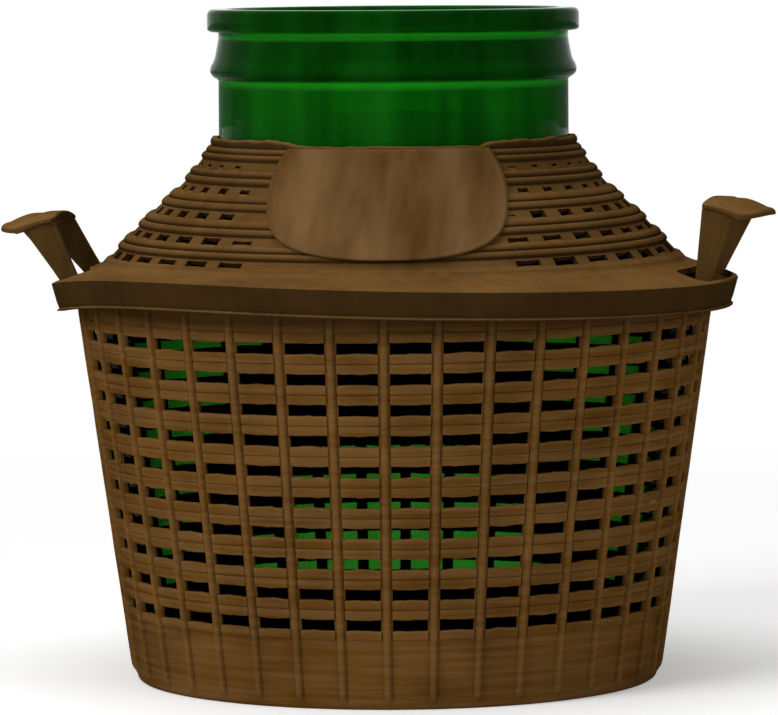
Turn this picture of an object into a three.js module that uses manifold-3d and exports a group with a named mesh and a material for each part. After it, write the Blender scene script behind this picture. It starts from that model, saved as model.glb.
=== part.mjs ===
// A wide-mouthed green glass demijohn in a moulded brown plastic casing: a lattice basket,
// a ringed cover over the shoulder and two strap handles that stand up through the cover's rim.
// Millimetres, +Z up. The origin is on the table below the vessel's axis, the handles are on +X and -X.
import * as THREE from "three";
import { mergeGeometries, mergeVertices } from "three/addons/utils/BufferGeometryUtils.js";
import Module from "manifold-3d";

const wasm = await Module();
wasm.setup();

// Glass vessel
const BASE_RADIUS = 89.8; // body at its foot
const BODY_FLARE = 8; // degrees that the body leans outward
const BODY_HEIGHT = 133.2; // foot to the corner of the shoulder
const SHOULDER_RISE = 50.3; // corner of the shoulder to the foot of the neck
const NECK_RADIUS = 62.1;
const NECK_LENGTH = 26.3; // foot of the neck to the underside of the bead
const BEAD_OVERHANG = 3.8;
const BEAD_ROUND = 3.2;
const BEAD_HEIGHT = 15.2; // underside of the bead to the end of its taper
const LIP_GROOVE = 1.5;
const LIP_OVERHANG = 3.9;
const LIP_HEIGHT = 8;
const LIP_ROUND = 1.8;
const GLASS_WALL = 3.5;
const NECK_WALL = 4.3;
const GLASS_BASE = 5;
const PUNT_RISE = 4; // hollow under the base
const PUNT_MARGIN = 18; // ring that the vessel stands on
const BASE_ROUND = 10;
const SHOULDER_ROUND = 22;
const NECK_FILLET = 6;
const GLASS_FACETS = 26;

// Basket
const FLOOR = 3.2;
const FOOT_ROUND = 3;
const GLASS_SEAT_GAP = 0.3; // vessel above the basket's floor
const BASKET_GAP = 1.3; // vessel to the basket's wall
const BASKET_WALL = 2.2;
const RIB_COUNT = 36;
const RIB_WIDTH = 3.1;
const RIB_CREST = 1.7;
const RIB_RISE = 1.1;
const RIB_START = 4;
const LATTICE_TURN = 1; // degrees from the handles to the middle of a bay
const WINDOW_START = 28.2; // underside of the lowest row of windows
const WINDOW_PITCH = 10.73;
const WINDOW_HEIGHT = 3.4;
const WINDOW_MARGIN = 7; // plain wall below the corner of the shoulder
const POST_WIDTH = 4;
const FLANGE = 2;

// Cover
const COVER_GAP = 1.6; // vessel's shoulder to the cover
const COVER_WALL = 2;
const COLLAR_GAP = 0.6;
const COLLAR_LAND = 1.4;
const COLLAR_RISE = 6; // collar above the foot of the neck
const STRAND_RISE = 1.1;
const SMOOTH_BAND_START = 11; // along the slope from the corner of the shoulder
const FIRST_ROW = 20.2;
const ROW_PITCH = 10.1;
const ROW_GROOVE = 3; // plain groove that a row of windows lies in
const TOP_BAND = 6.5; // least slope above the highest row
const STRAND_BEVEL = 1.1;
const COVER_BAYS = 41;
const COVER_TURN = -46.1; // degrees to the middle of a bay
const COVER_POST = 6.3;
const COVER_POST_GAIN = 0.5; // posts widen from row to row
const COVER_WINDOW_HEIGHT = 1.8;
const LEAST_WINDOW = 4.5; // narrower windows are pinholes, left to the finish of the surface
const LEDGE_WIDTH = 17.4;
const LEDGE_DROP = 4;
const LEDGE = 2.1;
const SKIRT_DEPTH = 9.3;
const SKIRT_DRAFT = 1.8;
const SKIRT_WALL = 1.6;
const SKIRT_BEAD = 0.8;
const COVER_SEAT_GAP = 0.35; // ledge above the basket's flange
const FLANGE_CLEARANCE = 1.3; // flange inside the skirt
const RIM_SAG = 2.5; // the rims dip at the handles and rise between them
const SAG_REACH = 14; // inside the ledge, where the sag starts

// Bare plate on the front of the cover
const PLATE_DIRECTION = -83.4;
const PLATE_TOP_WIDTH = 70;
const PLATE_WIDTH = 83;
const PLATE_HEIGHT = 37.8;
const PLATE_SIDE = 24; // above its foot, where it starts to narrow
const PLATE_ROUND = 16;
const PLATE_RISE = 1.4;
const PLATE_MARGIN = 5; // plate's side to the middle of the nearest window

// Handles
const PIVOT_INSET = 7.6; // from the edge of the flange to the line that both feet turn about
const PIVOT_DEPTH = 1.1; // below the top of the flange
const LEG_SPACING = 48;
const LEG_THICKNESS = 3.6;
const LEG_TOP_WIDTH = 11;
const LEG_LENGTH = 25.5;
const FOOT_RADIUS = 2.6;
const FOOT_GAP = 0.3;
const LUG_WALL = 2;
const LUG_INSET = 0.4; // lugs inside the edge of the flange
const GRIP_LENGTH = 52;
const GRIP_WIDTH = 21;
const GRIP_THICKNESS = 3.8;
const GRIP_ROUND = 3;
const GRIP_NOSE = 4; // the outer edge thins to a nose
const GRIP_RIM = 2.2;
const GRIP_DISH = 1;
const GRIP_LIFT = 10; // degrees that the grip rises towards its nose
const RIGHT_TILT = 17.5;
const LEFT_TILT = 31;
const MOST_TILT = 33;
const SLOT_ARC = 40;
const SLOT_REACH = 4.6; // inside the feet's line
const SLOT_RIM = 0.5; // edge of the ledge that is left inside the skirt

const ARC_STEP = THREE.MathUtils.degToRad(46);
const FINE_ARC_STEP = THREE.MathUtils.degToRad(20);
const BAY = (2 * Math.PI) / RIB_COUNT;
const COVER_BAY = (2 * Math.PI) / COVER_BAYS;

const glassMaterial = new THREE.MeshStandardMaterial({ color: 0x0b5a12, roughness: 0.08, metalness: 0 });
const basketMaterial = new THREE.MeshStandardMaterial({ color: 0x5c4220, roughness: 0.55, metalness: 0 });
const coverMaterial = new THREE.MeshStandardMaterial({ color: 0x604623, roughness: 0.55, metalness: 0 });
const handleMaterial = new THREE.MeshStandardMaterial({ color: 0x6b4c25, roughness: 0.5, metalness: 0 });

// Closed geometry as a solid that can be joined and cut
function toSolid(geometry) {
  geometry.deleteAttribute("normal");
  geometry.deleteAttribute("uv");
  const welded = mergeVertices(geometry);
  const corners = welded.index.array;
  const triVerts = [];
  for (let i = 0; i < corners.length; i += 3) {
    const [a, b, c] = corners.slice(i, i + 3);
    if (a !== b && b !== c && c !== a) {
      triVerts.push(a, b, c);
    }
  }
  const vertProperties = new Float32Array(welded.attributes.position.array);
  const mesh = new wasm.Mesh({ numProp: 3, vertProperties, triVerts: new Uint32Array(triVerts) });
  return new wasm.Manifold(mesh);
}

function toGeometry(solid) {
  const mesh = solid.getMesh();
  const geometry = new THREE.BufferGeometry();
  geometry.setAttribute("position", new THREE.BufferAttribute(new Float32Array(mesh.vertProperties), 3));
  geometry.setIndex(new THREE.BufferAttribute(new Uint32Array(mesh.triVerts), 1));
  geometry.computeVertexNormals();
  return geometry;
}

// Outline through corners [across, up, rounding], with an arc in place of each rounded corner
function outline(corners, arcStep = ARC_STEP) {
  const points = [];
  corners.forEach(([across, up, round = 0], i) => {
    const corner = new THREE.Vector2(across, up);
    if (round === 0) {
      points.push(corner);
      return;
    }
    const previous = corners[(i + corners.length - 1) % corners.length];
    const next = corners[(i + 1) % corners.length];
    const back = new THREE.Vector2(previous[0], previous[1]).sub(corner).normalize();
    const ahead = new THREE.Vector2(next[0], next[1]).sub(corner).normalize();
    const opening = Math.acos(back.dot(ahead));
    const sweep = (Math.PI - opening) * -Math.sign(back.cross(ahead));
    const middle = back.clone().add(ahead).normalize();
    const centre = corner.clone().addScaledVector(middle, round / Math.sin(opening / 2));
    const start = corner.clone().addScaledVector(back, round / Math.tan(opening / 2));
    const steps = Math.ceil(Math.abs(sweep) / arcStep);
    for (let k = 0; k <= steps; k += 1) {
      points.push(start.clone().rotateAround(centre, (sweep * k) / steps));
    }
  });
  return points;
}

// Solid of revolution about Z, with a facet centred on the angle given
function ring(points, facets, facing) {
  const start = facing + Math.PI / 2 + Math.PI / facets;
  return toSolid(new THREE.LatheGeometry(points, facets, start).rotateX(Math.PI / 2));
}

function closed(points) {
  return [...points, points[0]];
}

// Where the line through p along u meets the line through q along v
function meet(p, u, q, v) {
  const t = q.clone().sub(p).cross(v) / u.cross(v);
  return p.clone().addScaledVector(u, t);
}

function prism(points, depth) {
  return new THREE.ExtrudeGeometry(new THREE.Shape(points), { depth, bevelEnabled: false });
}

// Solid from a plan outline, between two heights
function slab(points, low, high) {
  return toSolid(prism(points, high - low).translate(0, 0, low));
}

// Geometry from a side outline (outward, up), as thick as given and centred on Y
function sidePlate(points, thickness) {
  return prism(points, thickness).rotateX(Math.PI / 2).translate(0, thickness / 2, 0);
}

// How far the rims sag at a place: they dip on the handles' sides and rise between the handles
function sagAt(x, y) {
  const start = ledgeInner.x - SAG_REACH;
  const share = THREE.MathUtils.clamp((Math.hypot(x, y) - start) / (rim.x - start), 0, 1);
  return RIM_SAG * share * Math.cos(2 * Math.atan2(y, x));
}

// Sags a piece, in full above one height and not at all below another
function sag(geometry, from, full) {
  const place = geometry.attributes.position;
  for (let i = 0; i < place.count; i += 1) {
    const z = place.getZ(i);
    const part = THREE.MathUtils.smoothstep(z, from, full);
    place.setZ(i, z - part * sagAt(place.getX(i), place.getY(i)));
  }
  geometry.computeVertexNormals();
  return geometry;
}

// Shared lines of the vessel's body and shoulder, as (radius, height)
const glassFoot = FLOOR + GLASS_SEAT_GAP;
const bodyLean = Math.tan(THREE.MathUtils.degToRad(BODY_FLARE));
const bodyRadius = (z) => BASE_RADIUS + bodyLean * (z - glassFoot);
const bodyLine = new THREE.Vector2(bodyLean, 1);
const shoulder = new THREE.Vector2(bodyRadius(glassFoot + BODY_HEIGHT), glassFoot + BODY_HEIGHT);
const neckFoot = new THREE.Vector2(NECK_RADIUS, shoulder.y + SHOULDER_RISE);
const slope = neckFoot.clone().sub(shoulder).normalize();
const slopeNormal = new THREE.Vector2(slope.y, -slope.x);
const slopeLength = neckFoot.distanceTo(shoulder);
const upright = new THREE.Vector2(0, 1);

// A place along the shoulder's slope and off its surface
function onSlope(along, off) {
  return shoulder.clone().addScaledVector(slope, along).addScaledVector(slopeNormal, off);
}

// Shared lines of the cover's rim and the basket's flange
const valleyOff = COVER_GAP + COVER_WALL;
const crestOff = valleyOff + STRAND_RISE;
const collarRadius = NECK_RADIUS + COLLAR_GAP;
const collarTop = neckFoot.y + COLLAR_RISE;
const ledgeInner = onSlope(SMOOTH_BAND_START, crestOff);
const rim = ledgeInner.clone().add(new THREE.Vector2(LEDGE_WIDTH, -LEDGE_DROP));
const ledgeLine = rim.clone().sub(ledgeInner).normalize();
const ledgeTop = (radius) => ledgeInner.y - ((radius - ledgeInner.x) * LEDGE_DROP) / LEDGE_WIDTH;
const flangeTop = (radius) => ledgeTop(radius) - LEDGE - COVER_SEAT_GAP;
const skirtInner = rim.x - SKIRT_WALL;
const flangeRadius = skirtInner - FLANGE_CLEARANCE;

// The line that the handles' feet turn about, before and after the rim's sag
const pivotRadius = flangeRadius - PIVOT_INSET;
const pivotReach = Math.hypot(pivotRadius, LEG_SPACING / 2);
const pivotLevel = flangeTop(pivotReach) - PIVOT_DEPTH;
const pivotHeight = pivotLevel - sagAt(pivotRadius, LEG_SPACING / 2);

function glassVessel() {
  const bead = neckFoot.y + NECK_LENGTH;
  const groove = bead + BEAD_HEIGHT;
  const lip = groove + LIP_GROOVE;
  const top = lip + LIP_HEIGHT;
  const mouth = NECK_RADIUS - NECK_WALL;
  const lipRadius = NECK_RADIUS + LIP_OVERHANG;
  const innerSlope = onSlope(0, -GLASS_WALL);
  const innerBody = new THREE.Vector2(BASE_RADIUS - GLASS_WALL, glassFoot);
  const innerShoulder = meet(innerBody, bodyLine, innerSlope, slope);
  const innerNeck = meet(innerSlope, slope, new THREE.Vector2(mouth, 0), upright);
  const floor = glassFoot + GLASS_BASE;
  const points = outline([
    [0, glassFoot + PUNT_RISE],
    [BASE_RADIUS - PUNT_MARGIN, glassFoot],
    [BASE_RADIUS, glassFoot, BASE_ROUND],
    [shoulder.x, shoulder.y, SHOULDER_ROUND],
    [neckFoot.x, neckFoot.y, NECK_FILLET],
    [NECK_RADIUS, bead],
    [NECK_RADIUS + BEAD_OVERHANG, bead, BEAD_ROUND],
    [NECK_RADIUS, groove],
    [NECK_RADIUS, lip],
    [lipRadius, lip],
    [lipRadius, top, LIP_ROUND],
    [mouth, top, LIP_ROUND],
    [innerNeck.x, innerNeck.y],
    [innerShoulder.x, innerShoulder.y, SHOULDER_ROUND - GLASS_WALL],
    [innerBody.x + bodyLean * GLASS_BASE, floor, BASE_ROUND - GLASS_WALL],
    [0, floor + PUNT_RISE],
  ]);
  return ring(points, GLASS_FACETS, 0);
}

// Wall radius of the basket at a height: the vessel's body and the gap, then the wall
const wallInner = (z) => bodyRadius(z) + BASKET_GAP;
const wallOuter = (z) => wallInner(z) + BASKET_WALL;

function basketShell() {
  const underflange = new THREE.Vector2(flangeRadius, flangeTop(flangeRadius) - FLANGE);
  const outerCorner = meet(new THREE.Vector2(wallOuter(0), 0), bodyLine, underflange, ledgeLine);
  const flangeEdge = new THREE.Vector2(flangeRadius, flangeTop(flangeRadius));
  const innerCorner = meet(new THREE.Vector2(wallInner(0), 0), bodyLine, flangeEdge, ledgeLine);
  const points = outline([
    [0, 0],
    [wallOuter(0), 0, FOOT_ROUND],
    [outerCorner.x, outerCorner.y],
    [underflange.x, underflange.y],
    [flangeEdge.x, flangeEdge.y],
    [innerCorner.x, innerCorner.y],
    [wallInner(FLOOR), FLOOR],
    [0, FLOOR],
  ]);
  return ring(points, RIB_COUNT, THREE.MathUtils.degToRad(LATTICE_TURN));
}

// Upright ribs along the corners of the wall, leaning with it and rooted in the wall and the flange
function basketRibs() {
  const root = BASKET_WALL / 2;
  const section = outline([
    [-root, -RIB_WIDTH / 2],
    [RIB_RISE, -RIB_CREST / 2],
    [RIB_RISE, RIB_CREST / 2],
    [-root, RIB_WIDTH / 2],
  ]);
  const height = flangeTop(flangeRadius) - FLANGE / 2 - RIB_START;
  const leaning = new THREE.Matrix4().makeShear(0, 0, 0, 0, bodyLean, 0);
  const ribs = [];
  for (let k = 0; k < RIB_COUNT; k += 1) {
    const rib = prism(section, height).applyMatrix4(leaning).translate(wallOuter(RIB_START), 0, RIB_START);
    ribs.push(rib.rotateZ(THREE.MathUtils.degToRad(LATTICE_TURN) + BAY * (k + 0.5)));
  }
  return toSolid(mergeGeometries(ribs));
}

function basketWindows() {
  const rows = Math.floor((shoulder.y - WINDOW_MARGIN - WINDOW_HEIGHT - WINDOW_START) / WINDOW_PITCH) + 1;
  const cuts = [];
  for (let row = 0; row < rows; row += 1) {
    const height = WINDOW_START + WINDOW_HEIGHT / 2 + row * WINDOW_PITCH;
    const radius = wallOuter(height);
    const width = 2 * radius * Math.sin(BAY / 2) - POST_WIDTH;
    for (let k = 0; k < RIB_COUNT; k += 1) {
      const cut = new THREE.BoxGeometry(6 * BASKET_WALL, width, WINDOW_HEIGHT).translate(radius, 0, height);
      cuts.push(cut.rotateZ(THREE.MathUtils.degToRad(LATTICE_TURN) + BAY * k));
    }
  }
  return toSolid(mergeGeometries(cuts));
}

// Boxes at the four feet, from inside to outside of the line that they turn about
function footBoxes(inward, outward, width, low, high) {
  const boxes = [];
  for (const side of [-1, 1]) {
    for (const leg of [-1, 1]) {
      const box = new THREE.BoxGeometry(inward + outward, width, high - low);
      box.translate(pivotRadius + (outward - inward) / 2, (leg * LEG_SPACING) / 2, (low + high) / 2);
      boxes.push(side > 0 ? box : box.rotateZ(Math.PI));
    }
  }
  return toSolid(mergeGeometries(boxes));
}

// Pockets in the flange that the handles' feet turn in, on lugs under the flange
function basket() {
  const pocketFloor = pivotLevel - FOOT_RADIUS - FOOT_GAP;
  const pocketWidth = LEG_THICKNESS + 2 * FOOT_GAP;
  const lugLow = pocketFloor - LUG_WALL;
  const lugHigh = flangeTop(flangeRadius) - FLANGE / 2;
  const lugRing = closed(outline([
    [wallOuter(lugLow) - BASKET_WALL / 2, lugLow],
    [flangeRadius - LUG_INSET, lugLow],
    [flangeRadius - LUG_INSET, lugHigh],
    [wallOuter(lugHigh) - BASKET_WALL / 2, lugHigh],
  ]));
  const lugReach = 2 * PIVOT_INSET;
  const lugs = ring(lugRing, RIB_COUNT, THREE.MathUtils.degToRad(LATTICE_TURN)).intersect(
    footBoxes(lugReach, lugReach, pocketWidth + 2 * LUG_WALL, lugLow - LUG_WALL, lugHigh + LUG_WALL),
  );
  const swing = FOOT_RADIUS / Math.cos(THREE.MathUtils.degToRad(MOST_TILT));
  const pockets = footBoxes(
    FOOT_RADIUS + FOOT_GAP, swing + FOOT_GAP, pocketWidth, pocketFloor, ledgeTop(pivotRadius),
  );
  const solid = basketShell().add(basketRibs()).add(lugs).subtract(basketWindows()).subtract(pockets);
  return sag(toGeometry(solid), shoulder.y - WINDOW_MARGIN, Math.min(lugLow, shoulder.y));
}

const coverRows = Math.floor((slopeLength - FIRST_ROW - TOP_BAND) / ROW_PITCH) + 1;
const rowPlace = (row) => FIRST_ROW + row * ROW_PITCH;

function coverShell() {
  const collarOuter = new THREE.Vector2(collarRadius + COLLAR_LAND, collarTop);
  const collarEdge = meet(onSlope(0, crestOff), slope, collarOuter, upright);
  const rings = [];
  for (let row = 0; row < coverRows; row += 1) {
    const low = rowPlace(row) + ROW_GROOVE / 2;
    const last = row === coverRows - 1;
    const high = last ? collarEdge.clone().sub(shoulder).dot(slope) : rowPlace(row + 1) - ROW_GROOVE / 2;
    rings.push(onSlope(low - ROW_GROOVE, valleyOff), onSlope(low, valleyOff));
    rings.push(onSlope(low + STRAND_BEVEL, crestOff));
    if (!last) {
      rings.push(onSlope(high - STRAND_BEVEL, crestOff));
    }
  }
  const smoothTop = onSlope(FIRST_ROW - ROW_GROOVE / 2 - STRAND_BEVEL / 2, crestOff);
  const collarFoot = meet(onSlope(0, COVER_GAP), slope, new THREE.Vector2(collarRadius, 0), upright);
  const underLedge = new THREE.Vector2(ledgeInner.x, ledgeInner.y - LEDGE);
  const innerCorner = meet(onSlope(0, COVER_GAP), slope, underLedge, ledgeLine);
  const skirtFoot = rim.y - SKIRT_DEPTH;
  const skirtOuter = rim.x - SKIRT_DRAFT;
  return closed([
    innerCorner,
    new THREE.Vector2(skirtInner, ledgeTop(skirtInner) - LEDGE),
    new THREE.Vector2(skirtInner - SKIRT_DRAFT, skirtFoot),
    new THREE.Vector2(skirtOuter + SKIRT_BEAD, skirtFoot),
    new THREE.Vector2(skirtOuter + SKIRT_BEAD, skirtFoot + SKIRT_BEAD),
    new THREE.Vector2(skirtOuter, skirtFoot + 2 * SKIRT_BEAD),
    rim,
    ledgeInner,
    smoothTop,
    ...rings,
    collarOuter,
    new THREE.Vector2(collarRadius, collarTop),
    collarFoot,
  ]);
}

function coverWindows() {
  const cuts = [];
  for (let row = 0; row < coverRows; row += 1) {
    const place = onSlope(rowPlace(row), valleyOff);
    const width = place.x * COVER_BAY - COVER_POST - row * COVER_POST_GAIN;
    for (let k = 0; k < COVER_BAYS && width >= LEAST_WINDOW; k += 1) {
      const angle = THREE.MathUtils.degToRad(COVER_TURN) + k * COVER_BAY;
      const fromPlate = angle - THREE.MathUtils.degToRad(PLATE_DIRECTION);
      const beside = Math.abs(place.x * Math.sin(fromPlate)) > PLATE_WIDTH / 2 + PLATE_MARGIN;
      if (beside || Math.cos(fromPlate) < 0) {
        const cut = new THREE.BoxGeometry(6 * COVER_WALL, width, COVER_WINDOW_HEIGHT);
        cuts.push(cut.translate(place.x, 0, place.y).rotateZ(angle));
      }
    }
  }
  return toSolid(mergeGeometries(cuts));
}

// Shield-shaped plate that follows the cone, rooted in the cover's wall
function plate() {
  const foot = collarTop - PLATE_HEIGHT;
  const rootOff = COVER_GAP + COVER_WALL / 2;
  const faceOff = crestOff + PLATE_RISE;
  const atHeight = (off, z) => meet(onSlope(0, off), slope, new THREE.Vector2(0, z), new THREE.Vector2(1, 0));
  const shell = closed([
    atHeight(rootOff, foot - LEDGE),
    atHeight(faceOff, foot - LEDGE),
    atHeight(faceOff, collarTop),
    new THREE.Vector2(collarRadius, collarTop),
    meet(onSlope(0, rootOff), slope, new THREE.Vector2(collarRadius, 0), upright),
  ]);
  const shape = outline([
    [-PLATE_WIDTH / 2, foot, PLATE_ROUND],
    [PLATE_WIDTH / 2, foot, PLATE_ROUND],
    [PLATE_WIDTH / 2, foot + PLATE_SIDE],
    [PLATE_TOP_WIDTH / 2, collarTop],
    [-PLATE_TOP_WIDTH / 2, collarTop],
    [-PLATE_WIDTH / 2, foot + PLATE_SIDE],
  ], FINE_ARC_STEP);
  const upStanding = prism(shape, rim.x).rotateX(Math.PI / 2);
  upStanding.rotateZ(THREE.MathUtils.degToRad(PLATE_DIRECTION) + Math.PI / 2);
  return ring(shell, COVER_BAYS, THREE.MathUtils.degToRad(COVER_TURN)).intersect(toSolid(upStanding));
}

// Curved slots in the ledge that the handles stand up through
function handleSlots() {
  const half = THREE.MathUtils.degToRad(SLOT_ARC / 2);
  const steps = Math.ceil((2 * half) / BAY);
  const slots = [];
  for (const facing of [0, Math.PI]) {
    const shape = new THREE.Shape();
    shape.absarc(0, 0, skirtInner - SLOT_RIM, facing - half, facing + half, false);
    shape.absarc(0, 0, pivotReach - SLOT_REACH, facing + half, facing - half, true);
    slots.push(slab(shape.getPoints(steps), ledgeTop(skirtInner) - LEDGE - SLOT_RIM, ledgeInner.y + LEDGE));
  }
  return slots[0].add(slots[1]);
}

function cover() {
  const shell = ring(coverShell(), COVER_BAYS, THREE.MathUtils.degToRad(COVER_TURN));
  const solid = shell.add(plate()).subtract(coverWindows()).subtract(handleSlots());
  return sag(toGeometry(solid), 0, rim.y - SKIRT_DEPTH);
}

// Strap handle about its feet's line: X outward, Z up the legs
function handle() {
  const inner = -LEG_TOP_WIDTH / 2;
  const outer = inner + GRIP_WIDTH;
  const top = LEG_LENGTH + GRIP_THICKNESS;
  const lift = THREE.MathUtils.degToRad(GRIP_LIFT);
  const heel = new THREE.Vector2(inner, LEG_LENGTH);
  const inGrip = (x) => new THREE.Vector2(x, LEG_LENGTH + GRIP_THICKNESS / 2).rotateAround(heel, lift);
  const foot = new THREE.Path().absarc(0, 0, FOOT_RADIUS, Math.PI, 2 * Math.PI, false);
  const legOutline = [...foot.getPoints(4), inGrip(-inner), inGrip(inner)];
  const leg = (side) => sidePlate(legOutline, LEG_THICKNESS).translate(0, (side * LEG_SPACING) / 2, 0);
  const gripOutline = outline([
    [inner, LEG_LENGTH],
    [outer - GRIP_NOSE, LEG_LENGTH, GRIP_ROUND],
    [outer, top - GRIP_THICKNESS / 3],
    [outer - GRIP_NOSE / 4, top],
    [inner, top, GRIP_ROUND],
  ]);
  const dishRound = GRIP_WIDTH / 2 - GRIP_RIM - GRIP_ROUND / 2;
  const dishOutline = outline([
    [inner + GRIP_ROUND, -GRIP_LENGTH / 2 + GRIP_RIM, dishRound],
    [outer - GRIP_RIM, -GRIP_LENGTH / 2 + GRIP_RIM, dishRound],
    [outer - GRIP_RIM, GRIP_LENGTH / 2 - GRIP_RIM, dishRound],
    [inner + GRIP_ROUND, GRIP_LENGTH / 2 - GRIP_RIM, dishRound],
  ]);
  const dish = prism(dishOutline, 2 * GRIP_DISH).translate(0, 0, top - GRIP_DISH);
  const lifted = (geometry) =>
    toSolid(geometry.translate(-heel.x, 0, -heel.y).rotateY(-lift).translate(heel.x, 0, heel.y));
  const legs = toSolid(mergeGeometries([leg(-1), leg(1)]));
  return toGeometry(legs.add(lifted(sidePlate(gripOutline, GRIP_LENGTH))).subtract(lifted(dish)));
}

const demijohn = new THREE.Group();

function addPiece(name, geometry, material, parent = demijohn) {
  const mesh = new THREE.Mesh(geometry, material);
  mesh.name = name;
  parent.add(mesh);
  return mesh;
}

addPiece("glass_vessel", toGeometry(glassVessel()), glassMaterial);
addPiece("basket", basket(), basketMaterial);
addPiece("cover", cover(), coverMaterial);

const handleSides = [["handle_right", 0, RIGHT_TILT], ["handle_left", Math.PI, LEFT_TILT]];
for (const [name, facing, tilt] of handleSides) {
  const side = new THREE.Group();
  side.rotation.z = facing;
  demijohn.add(side);
  const strap = addPiece(name, handle(), handleMaterial, side);
  strap.position.set(pivotRadius, 0, pivotHeight);
  strap.rotation.y = THREE.MathUtils.degToRad(tilt);
}

export default demijohn;
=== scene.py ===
"""A wide-mouthed green glass demijohn in a moulded brown plastic casing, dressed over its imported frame."""
import math
import random

import bmesh
import bpy
from mathutils import Matrix, Vector, noise


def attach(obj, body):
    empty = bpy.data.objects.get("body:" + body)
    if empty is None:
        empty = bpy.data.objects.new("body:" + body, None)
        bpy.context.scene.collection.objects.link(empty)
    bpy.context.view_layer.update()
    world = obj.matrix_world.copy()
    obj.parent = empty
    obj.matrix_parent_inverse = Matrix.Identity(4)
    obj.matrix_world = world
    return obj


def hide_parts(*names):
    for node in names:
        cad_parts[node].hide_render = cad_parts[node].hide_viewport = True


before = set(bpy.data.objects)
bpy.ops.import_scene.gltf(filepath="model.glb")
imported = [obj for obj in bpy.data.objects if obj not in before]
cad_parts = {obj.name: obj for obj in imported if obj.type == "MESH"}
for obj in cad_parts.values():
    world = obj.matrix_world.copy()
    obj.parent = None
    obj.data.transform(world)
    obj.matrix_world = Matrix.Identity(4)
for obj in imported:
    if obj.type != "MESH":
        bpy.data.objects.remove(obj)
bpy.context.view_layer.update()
scene = bpy.context.scene
chance = random.Random(5)

# All sizes below are millimetres in the frame's own axes, and become metres as a mesh is made
MM = 0.001
WELD = 1e-6
SHARP = math.radians(48)
ARC_STEP = math.radians(15)

# Glass vessel
BASE_RADIUS = 89.8
BODY_FLARE = math.radians(8)
GLASS_FOOT = 3.5
BODY_HEIGHT = 133.2
SHOULDER_RISE = 50.3
NECK_RADIUS = 62.1
NECK_LENGTH = 26.3
BEAD_OVERHANG = 5.2
BEAD_HOLLOW = 1.3
BEAD_ROUND = 3.2
BEAD_HEIGHT = 14.1
BEAD_CORNER = 0.8
BEAD_HOLLOW_ROUND = 8
LIP_GROOVE = 2.6
GROOVE_ROUND = 1.5
LIP_OVERHANG = 3.9
LIP_HEIGHT = 8
LIP_ROUND = 2.2
LIP_CORNER = 0.5
LIP_UNDER_ROUND = 1.4
GLASS_WALL = 3.5
NECK_WALL = 4.3
GLASS_BASE = 5
PUNT_RISE = 4
PUNT_MARGIN = 18
BASE_ROUND = 10
SHOULDER_ROUND = 22
NECK_FILLET = 6
GLASS_COLUMNS = 144
GLASS_WAVE = 0.12
WAVE_FINENESS = 2
WAVE_RISE = 60

# Look of the glass: heights in metres, then (share of the way up the neck, amount) of painted shade, dark on
# the bead and lip, and of painted light, pale under the bead and under the lip
NECK_LINE = 0.188
NECK_TOP = 0.238
# Painted shade on the bead and the lip
NECK_SHADE_STOPS = (
    (0.01, 0), (0.47, 0), (0.52, 0.45), (0.77, 0.45),
    (0.8, 0.1), (0.84, 0.1), (0.87, 0.5), (0.99, 0.5),
)
# Painted light under the bead and in the groove under the lip
GROOVE_LIGHT_STOPS = (
    (0.01, 0), (0.44, 0), (0.475, 0.95), (0.5, 0.95), (0.52, 0),
    (0.78, 0), (0.8, 1), (0.83, 1), (0.85, 0), (0.99, 0),
)
NECK_SHADE_GREEN = (0.004, 0.06, 0.004, 1)
GROOVE_LIGHT_GREEN = (0.07, 1, 0.06, 1)
GLASS_SHINE = (0.04, 0.12, 0.04, 1)
GLASS_ROUGHNESS = 0.03
GLASS_PASSES = (0.06, 0.26, 0, 1)
GLASS_DEPTH = 230
CORD_STRETCH = (75, 75, 4)
CORD_SPAN = (0.35, 0.65)
RIPPLE_STRETCH = (30, 30, 70)
RIPPLE_STRENGTH = 0.12
RIPPLE_DEPTH = 0.002

# Look of the plastic: colours as on screen, and the spans of unevenness or of edges over which each shows,
# with a painted highlight on convex edges and painted shade in grooves, on sides and under a rim
BLOTCH_SCALE = 38
BLOTCH_SPAN = (0.35, 0.68)
FLOW_STRETCH = (230, 230, 14)
FLOW_SPAN = (0.38, 0.66)
FLOW_BROWN = (150, 120, 84)
# Painted highlight along convex edges: the pointiness over which it shows, its share and its pale brown
EDGE_HIGHLIGHT_SPAN = (0.53, 0.62)
EDGE_HIGHLIGHT_AMOUNT = 0.6
EDGE_HIGHLIGHT_BROWN = (150, 112, 66)
# Painted shade in grooves and creases: the pointiness over which it shows, its share and its dark brown
GROOVE_SHADE_SPAN = (0.47, 0.40)
GROOVE_SHADE_AMOUNT = 0.45
GROOVE_SHADE_BROWN = (38, 25, 10)
# Painted shade on faces turned from up, over a span of their upward facing; the share of painted shadow
# under a rim; and the shadow brown of both
SIDE_SHADE_SPAN = (0.95, 0.25)
SHADOW_AMOUNT = 0.62
SHADOW_BROWN = (26, 17, 6)
SHEEN_SCALE = 160
SHEEN_SPAN = (0.3, 0.7)
SHEEN_GAIN = 0.07
SHEEN_LOSS = 0.09
PITTING_SCALE = 700
PITTING_STRETCH = (1, 1, 0.35)
PITTING_STRENGTH = 0.16
PITTING_DEPTH = 0.0006

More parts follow.
